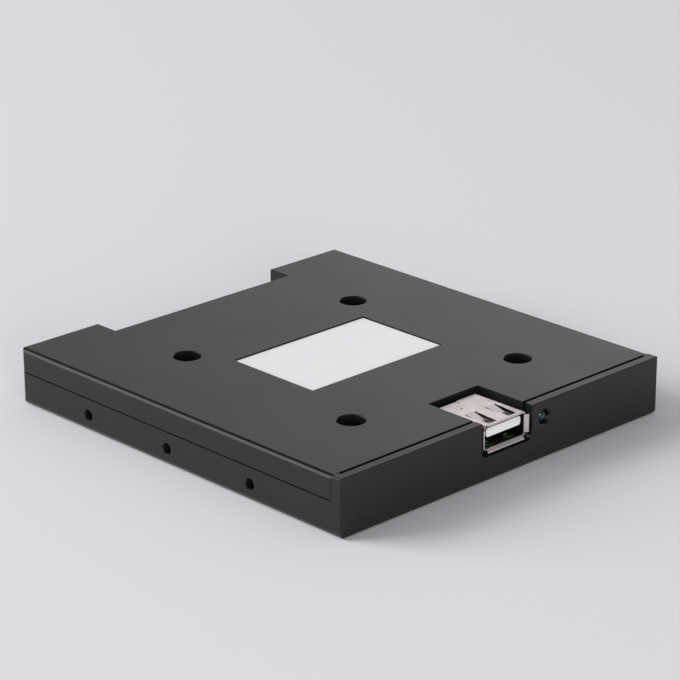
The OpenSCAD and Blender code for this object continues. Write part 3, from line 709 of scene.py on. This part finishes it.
CONTACT_GILT = Finish(
    "contact_gilt",
    colour=(0.86, 0.62, 0.26),
    shade=(0.74, 0.51, 0.2),
    roughness=0.26,
    metallic=1.0,
    relief=Relief.BRUSHED,
    patch_size=1.5 * MM,
    edge_radius=0.03 * MM,
)
LEAD_TIN = Finish(
    "lead_tin",
    colour=(0.72, 0.72, 0.72),
    shade=(0.6, 0.6, 0.6),
    roughness=0.34,
    metallic=1.0,
    patch_size=1 * MM,
    edge_radius=0.03 * MM,
)
CUP_SILVER = Finish(
    "cup_silver",
    colour=(0.86, 0.86, 0.85),
    shade=(0.78, 0.78, 0.77),
    roughness=0.2,
    metallic=1.0,
    patch_size=0.5 * MM,
    edge_radius=0.03 * MM,
)
LAMP_RESIN = Finish(
    "lamp_resin",
    colour=(0.008, 0.055, 0.052),
    shade=(0.006, 0.045, 0.042),
    roughness=0.08,
    roughness_spread=0.02,
    grain_depth=0.02,
    patch_size=1 * MM,
    transmission=0.75,
    coat=0.4,
    ior=1.52,
)
BOARD_MASK = Finish(
    "board_mask",
    colour=(0.004, 0.026, 0.012),
    shade=(0.003, 0.019, 0.009),
    roughness=0.3,
    relief=Relief.TRACES,
    grain_size=1.6 * MM,
    grain_depth=0.15,
    coat=0.3,
)
SOCKET_PLASTIC = Finish(
    "socket_plastic",
    colour=(0.70, 0.65, 0.50),
    shade=(0.64, 0.59, 0.45),
    roughness=0.42,
    grain_size=0.08 * MM,
    grain_depth=0.15,
    patch_size=5 * MM,
    edge_radius=0.05 * MM,
)
LATCH_PLASTIC = Finish(
    "latch_plastic",
    colour=(0.060, 0.030, 0.018),
    shade=(0.045, 0.022, 0.013),
    roughness=0.38,
    grain_size=0.08 * MM,
    grain_depth=0.15,
    patch_size=5 * MM,
    edge_radius=0.06 * MM,
    # Edges lighter: partly wear, partly painted highlight.
    wear_and_highlight_gain=0.3,
    wear_and_highlight_colour=(0.2, 0.12, 0.08),
)
CHIP_EPOXY = Finish(
    "chip_epoxy",
    colour=(0.020, 0.020, 0.021),
    shade=(0.015, 0.015, 0.016),
    roughness=0.5,
    grain_size=0.06 * MM,
    grain_depth=0.4,
    patch_size=3 * MM,
    edge_radius=0.05 * MM,
    # Edges lighter: partly wear, partly painted highlight.
    wear_and_highlight_gain=0.3,
    wear_and_highlight_colour=(0.08, 0.08, 0.08),
)
CRYSTAL_CAN = Finish(
    "crystal_can",
    colour=(0.68, 0.68, 0.69),
    shade=(0.58, 0.58, 0.59),
    roughness=0.28,
    metallic=1.0,
    relief=Relief.BRUSHED,
    grain_size=0.15 * MM,
    grain_depth=0.2,
    patch_size=3 * MM,
)
CAPACITOR_RESIN = Finish(
    "capacitor_resin",
    colour=(0.72, 0.42, 0.06),
    shade=(0.62, 0.34, 0.04),
    roughness=0.4,
    grain_size=0.08 * MM,
    grain_depth=0.2,
    patch_size=2 * MM,
)
CERAMIC_BODY = Finish(
    "ceramic_body",
    colour=(0.40, 0.28, 0.17),
    shade=(0.33, 0.22, 0.13),
    roughness=0.45,
    grain_size=0.05 * MM,
    patch_size=1 * MM,
)
SCREW_PLATE = Finish(
    "screw_plate",
    colour=(0.50, 0.50, 0.51),
    shade=(0.40, 0.40, 0.41),
    roughness=0.34,
    metallic=1.0,
    relief=Relief.BRUSHED,
    grain_size=0.1 * MM,
    patch_size=1.5 * MM,
    edge_radius=0.06 * MM,
    # Edges lighter: partly wear, partly painted highlight.
    wear_and_highlight_gain=0.4,
    wear_and_highlight_colour=(0.75, 0.75, 0.75),
)


@dataclass
class Assembly:
    """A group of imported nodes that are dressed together."""

    shop: FinishShop
    finishes: dict[str, Finish] = field(default_factory=dict)

    def dress(self) -> None:
        """Puts each node's finish on it."""
        for node, finish in self.finishes.items():
            self.shop.dress(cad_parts[node], finish)
            LOG.info("%s wears %s", node, finish.name)

    def build(self) -> None:
        """Builds what the solids don't carry. Most assemblies have nothing."""


@dataclass
class CaseShells(Assembly):
    """The two shells of the case, the label and the case screws."""

    finishes: dict[str, Finish] = field(
        default_factory=lambda: {
            "bottom_case": CASE_PLASTIC,
            "top_cover": CASE_PLASTIC,
            "label": LABEL_FILM,
            "case_screws": SCREW_PLATE,
        }
    )


@dataclass
class UsbSocket(Assembly):
    """The socket in the front: shell, tongue and contacts."""

    finishes: dict[str, Finish] = field(
        default_factory=lambda: {
            "usb_shield": SHIELD_TIN,
            "usb_insulator": TONGUE_PLASTIC,
            "usb_contacts": CONTACT_GILT,
        }
    )


@dataclass
class StatusLamp(Assembly):
    """The lamp beside the socket, with the cup and chip inside its clear body."""

    finishes: dict[str, Finish] = field(
        default_factory=lambda: {"status_lamp": LAMP_RESIN, "lamp_leads": LEAD_TIN}
    )
    cup_depth: float = 2.1 * MM
    cup_mouth_r: float = 0.62 * MM
    cup_floor_r: float = 0.34 * MM
    cup_wall: float = 0.16 * MM
    cup_h: float = 0.55 * MM
    post_l: float = 1.6 * MM
    turns: int = 32
    weld_per_wall: float = 1 / 50
    chip_side: float = 0.32 * MM
    chip_edge_per_side: float = 1 / 10
    chip_edge_steps: int = 2

    def build(self) -> None:
        """Turns the cup on its post and sets the chip in it."""
        low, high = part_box("status_lamp")
        mouth = Vector(((low.x + high.x) / 2, low.y + self.cup_depth, (low.z + high.z) / 2))
        self.place("lamp_cup", self.turn_cup(), mouth, CUP_SILVER, "tinned_metal")
        chip = bmesh.new()
        bmesh.ops.create_cube(chip, size=self.chip_side)
        edge = self.chip_side * self.chip_edge_per_side
        bmesh.ops.bevel(chip, geom=chip.edges, offset=edge, segments=self.chip_edge_steps, affect="EDGES")
        middle = mouth + Vector((0, self.cup_h - self.chip_side / 2, 0))
        self.place("lamp_chip", chip, middle, CHIP_EPOXY, "chip_resin")

    def turn_cup(self) -> bmesh.types.BMesh:
        """Turns the cup and its post round the Y axis, with the mouth at y = 0.

        Returns:
            The shape.
        """
        outline = [
            (0.0, self.cup_h),
            (self.cup_floor_r, self.cup_h),
            (self.cup_mouth_r, 0.0),
            (self.cup_mouth_r + self.cup_wall, 0.0),
            (self.cup_floor_r + self.cup_wall, self.cup_h + self.cup_wall),
            (self.cup_floor_r, self.cup_h + self.cup_wall),
            (self.cup_floor_r, self.cup_h + self.post_l),
            (0.0, self.cup_h + self.post_l),
        ]
        mesh = bmesh.new()
        points = [mesh.verts.new((r, y, 0.0)) for r, y in outline]
        edges = [mesh.edges.new(pair) for pair in zip(points, points[1:])]
        bmesh.ops.spin(
            mesh,
            geom=[*points, *edges],
            axis=(0, 1, 0),
            cent=(0, 0, 0),
            angle=math.tau,
            steps=self.turns,
        )
        bmesh.ops.remove_doubles(mesh, verts=mesh.verts, dist=self.cup_wall * self.weld_per_wall)
        bmesh.ops.recalc_face_normals(mesh, faces=mesh.faces)
        return mesh

    def place(self, name: str, mesh: bmesh.types.BMesh, where: Vector, finish: Finish, slot: str) -> None:
        """Turns a bmesh into a dressed piece that rides on the case.

        Args:
            name: The piece's name.
            mesh: Its shape round the origin. The mesh is freed here.
            where: Where its origin goes.
            finish: Its finish.
            slot: Not used.
        """
        mesh.transform(Matrix.Translation(where))
        data = bpy.data.meshes.new(name)
        mesh.to_mesh(data)
        mesh.free()
        piece = bpy.data.objects.new(name, data)
        bpy.context.scene.collection.objects.link(piece)
        self.shop.dress(piece, finish)
        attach(piece, CASE_BODY)
        LOG.info("%s built with %d faces", name, len(data.polygons))


@dataclass
class CableSocket(Assembly):
    """The flat-cable socket in the rear recess, with its latch."""

    finishes: dict[str, Finish] = field(
        default_factory=lambda: {
            "cable_socket": SOCKET_PLASTIC,
            "cable_contacts": CONTACT_GILT,
            "cable_latch": LATCH_PLASTIC,
            "cable_anchors": LEAD_TIN,
        }
    )


@dataclass
class CircuitBoard(Assembly):
    """The board and the parts soldered to it."""

    finishes: dict[str, Finish] = field(
        default_factory=lambda: {
            "circuit_board": BOARD_MASK,
            "microcontroller": CHIP_EPOXY,
            "microcontroller_leads": LEAD_TIN,
            "memory_chip": CHIP_EPOXY,
            "memory_leads": LEAD_TIN,
            "buffer_chips": CHIP_EPOXY,
            "buffer_leads": LEAD_TIN,
            "crystal": CRYSTAL_CAN,
            "crystal_leads": LEAD_TIN,
            "voltage_regulator": CHIP_EPOXY,
            "regulator_leads": LEAD_TIN,
            "bulk_capacitors": CAPACITOR_RESIN,
            "chip_capacitors": CERAMIC_BODY,
            "chip_resistors": CHIP_EPOXY,
            "chip_terminals": LEAD_TIN,
        }
    )


@dataclass(frozen=True)
class PhotoCamera:
    """The photo's camera, solved from the case's corners, seams and holes.

    Its angles are in radians.
    """

    place: Point = (-0.424746, -0.441706, 0.249453)
    azimuth: float = -0.7665581
    elevation: float = 0.3626235
    roll: float = -0.0023963
    focal_px: float = 2835.811
    image_px: float = 680.0
    sensor_mm: float = 36.0
    nearest: float = 0.01
    farthest: float = 50.0

    def build(self) -> None:
        """Makes the camera and hands it to the scene."""
        data = bpy.data.cameras.new("photo_camera")
        data.sensor_fit = "HORIZONTAL"
        data.sensor_width = self.sensor_mm
        data.lens = self.focal_px / self.image_px * self.sensor_mm
        data.clip_start = self.nearest
        data.clip_end = self.farthest
        camera = bpy.data.objects.new("photo_camera", data)
        bpy.context.scene.collection.objects.link(camera)
        turn, rise = self.azimuth, self.elevation
        back = Vector((math.sin(turn) * math.cos(rise), -math.cos(turn) * math.cos(rise), math.sin(rise)))
        right = Vector((math.cos(turn), math.sin(turn), 0.0))
        up = back.cross(right)
        c, s = math.cos(self.roll), math.sin(self.roll)
        columns = (c * right + s * up, -s * right + c * up, back)
        camera.matrix_world = Matrix.Translation(self.place) @ Matrix(columns).transposed().to_4x4()
        bpy.context.scene.camera = camera


@dataclass(frozen=True)
class SoftBox:
    """A square area lamp that points at the drive and stays out of its reflections.

    One that names a node lights and glints on that node alone.
    """

    name: str
    place: Point
    side: float
    watts: float
    only_on: str = ""

    def build(self) -> None:
        """Makes the lamp and aims it."""
        data = bpy.data.lights.new(self.name, "AREA")
        data.shape = "SQUARE"
        data.size = self.side
        data.energy = self.watts
        lamp = bpy.data.objects.new(self.name, data)
        lamp.location = self.place
        lamp.rotation_euler = Vector(self.place).to_track_quat("Z", "Y").to_euler()
        lamp.visible_glossy = bool(self.only_on)
        if self.only_on:
            lit = bpy.data.collections.new(f"{self.name}_receivers")
            lit.objects.link(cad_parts[self.only_on])
            lamp.light_linking.receiver_collection = lit
        bpy.context.scene.collection.objects.link(lamp)


@dataclass(frozen=True)
class Studio:
    """The pale floor, the soft lamps and the room round them.

    The room's strength depends on direction. Along wall_back it goes from wall_front to
    that of the rear wall, which itself goes from wall_low to wall_high along wall_across.
    Between wall_top and ceiling_bottom it changes to the ceiling's.
    """

    floor_side: float = 24.0
    floor_colour: Colour = (0.75, 0.75, 0.77)
    floor_shade: float = 0.98
    floor_grain_scale: float = 900.0
    floor_roughness: float = 0.8
    wall_colour: Colour = (0.985, 0.98, 1.0)
    wall_front: float = 0.42
    wall_low: float = 0.49
    wall_high: float = 1.0
    wall_across: Point = (0.72, -0.69, 0.0)
    across_span: tuple[float, float] = (-0.13, 0.08)
    wall_back: Point = (0.30, 0.95, 0.0)
    back_span: tuple[float, float] = (-0.2, 0.3)
    wall_top: float = 0.54
    ceiling_bottom: float = 0.65
    ceiling_strength: float = 0.06
    even_strength: float = 0.42
    lamps: tuple[SoftBox, ...] = (
        SoftBox("key", (-2.16, 2.37, 1.41), 2.4, 157.0),
        SoftBox("fill", (-1.80, -3.16, 0.80), 1.3, 68.0),
        SoftBox("glint", (-0.42, -0.78, 0.46), 0.45, 7.0, only_on="status_lamp"),
    )

    def build(self) -> None:
        """Makes the floor, the lamps and the world."""
        self.build_floor()
        self.build_world()
        for lamp in self.lamps:
            lamp.build()
        bpy.context.scene.view_settings.view_transform = "Standard"
        LOG.info("studio with %d lamps", len(self.lamps))

    def build_floor(self) -> None:
        """Lays the pale floor under the drive."""
        mesh = bmesh.new()
        bmesh.ops.create_grid(mesh, x_segments=1, y_segments=1, size=self.floor_side / 2)
        data = bpy.data.meshes.new("floor")
        mesh.to_mesh(data)
        mesh.free()
        floor = bpy.data.objects.new("floor", data)
        bpy.context.scene.collection.objects.link(floor)
        material = bpy.data.materials.new("floor_paint")
        material.use_nodes = True
        sheet = NodeSheet(material.node_tree)
        shader = material.node_tree.nodes["Principled BSDF"]
        place = sheet.add("ShaderNodeTexCoord")
        noise = sheet.add("ShaderNodeTexNoise")
        noise.inputs["Scale"].default_value = self.floor_grain_scale
        sheet.link(place.outputs["Object"], noise.inputs["Vector"])
        darker = tuple(self.floor_shade * c for c in self.floor_colour)
        colour = sheet.mix(noise.outputs[0], rgba(self.floor_colour), rgba(darker))
        sheet.link(colour, shader.inputs["Base Color"])
        shader.inputs["Roughness"].default_value = self.floor_roughness
        data.materials.append(material)

    def build_world(self) -> None:
        """Makes the world: seen and mirrored it is a room, elsewhere an even light."""
        world = bpy.data.worlds.new("room")
        bpy.context.scene.world = world
        world.use_nodes = True
        world.node_tree.nodes.clear()
        sheet = NodeSheet(world.node_tree)
        room = self.background(sheet, self.room_strength(sheet))
        even = self.background(sheet, self.even_strength)
        path = sheet.add("ShaderNodeLightPath")
        mirrored = sheet.math("MAXIMUM", path.outputs["Is Glossy Ray"], path.outputs["Is Transmission Ray"])
        shown = sheet.math("MAXIMUM", path.outputs["Is Camera Ray"], mirrored)
        blend = sheet.add("ShaderNodeMixShader")
        for target, value in zip(blend.inputs, (shown, even, room)):
            sheet.link(value, target)
        result = sheet.add("ShaderNodeOutputWorld")
        sheet.link(blend.outputs[0], result.inputs["Surface"])

    def background(self, sheet: NodeSheet, strength: object) -> bpy.types.NodeSocket:
        """Adds a background in the walls' colour.

        Args:
            sheet: The world's sheet.
            strength: Socket or number.

        Returns:
            The shader's socket.
        """
        node = sheet.add("ShaderNodeBackground")
        node.inputs["Color"].default_value = rgba(self.wall_colour)
        sheet.feed(node.inputs["Strength"], strength)
        return node.outputs[0]

    def room_strength(self, sheet: NodeSheet) -> bpy.types.NodeSocket:
        """Grades the room by direction: walls brightest behind on the right, a dim ceiling.

        Args:
            sheet: The world's sheet.

        Returns:
            The strength's socket.
        """
        place = sheet.add("ShaderNodeTexCoord")
        parts = sheet.add("ShaderNodeSeparateXYZ")
        sheet.link(place.outputs["Generated"], parts.inputs[0])
        turns = []
        for side in (self.wall_across, self.wall_back):
            turn = sheet.add("ShaderNodeVectorMath", operation="DOT_PRODUCT")
            sheet.link(place.outputs["Generated"], turn.inputs[0])
            turn.inputs[1].default_value = side
            turns.append(turn.outputs["Value"])
        across, back = turns
        behind = sheet.span(across, self.across_span, (self.wall_low, self.wall_high))
        wall = sheet.span(back, self.back_span, (self.wall_front, behind))
        up_span = (self.wall_top, self.ceiling_bottom)
        return sheet.span(parts.outputs["Z"], up_span, (wall, self.ceiling_strength))


def main() -> None:
    """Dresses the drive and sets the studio."""
    logging.basicConfig(level=logging.INFO, format="%(name)s: %(message)s")
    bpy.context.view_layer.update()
    PhotoCamera().build()
    shop = FinishShop()
    for kind in (CaseShells, UsbSocket, StatusLamp, CableSocket, CircuitBoard):
        assembly = kind(shop)
        assembly.dress()
        assembly.build()
    Studio().build()


if __name__ == "__main__":
    main()
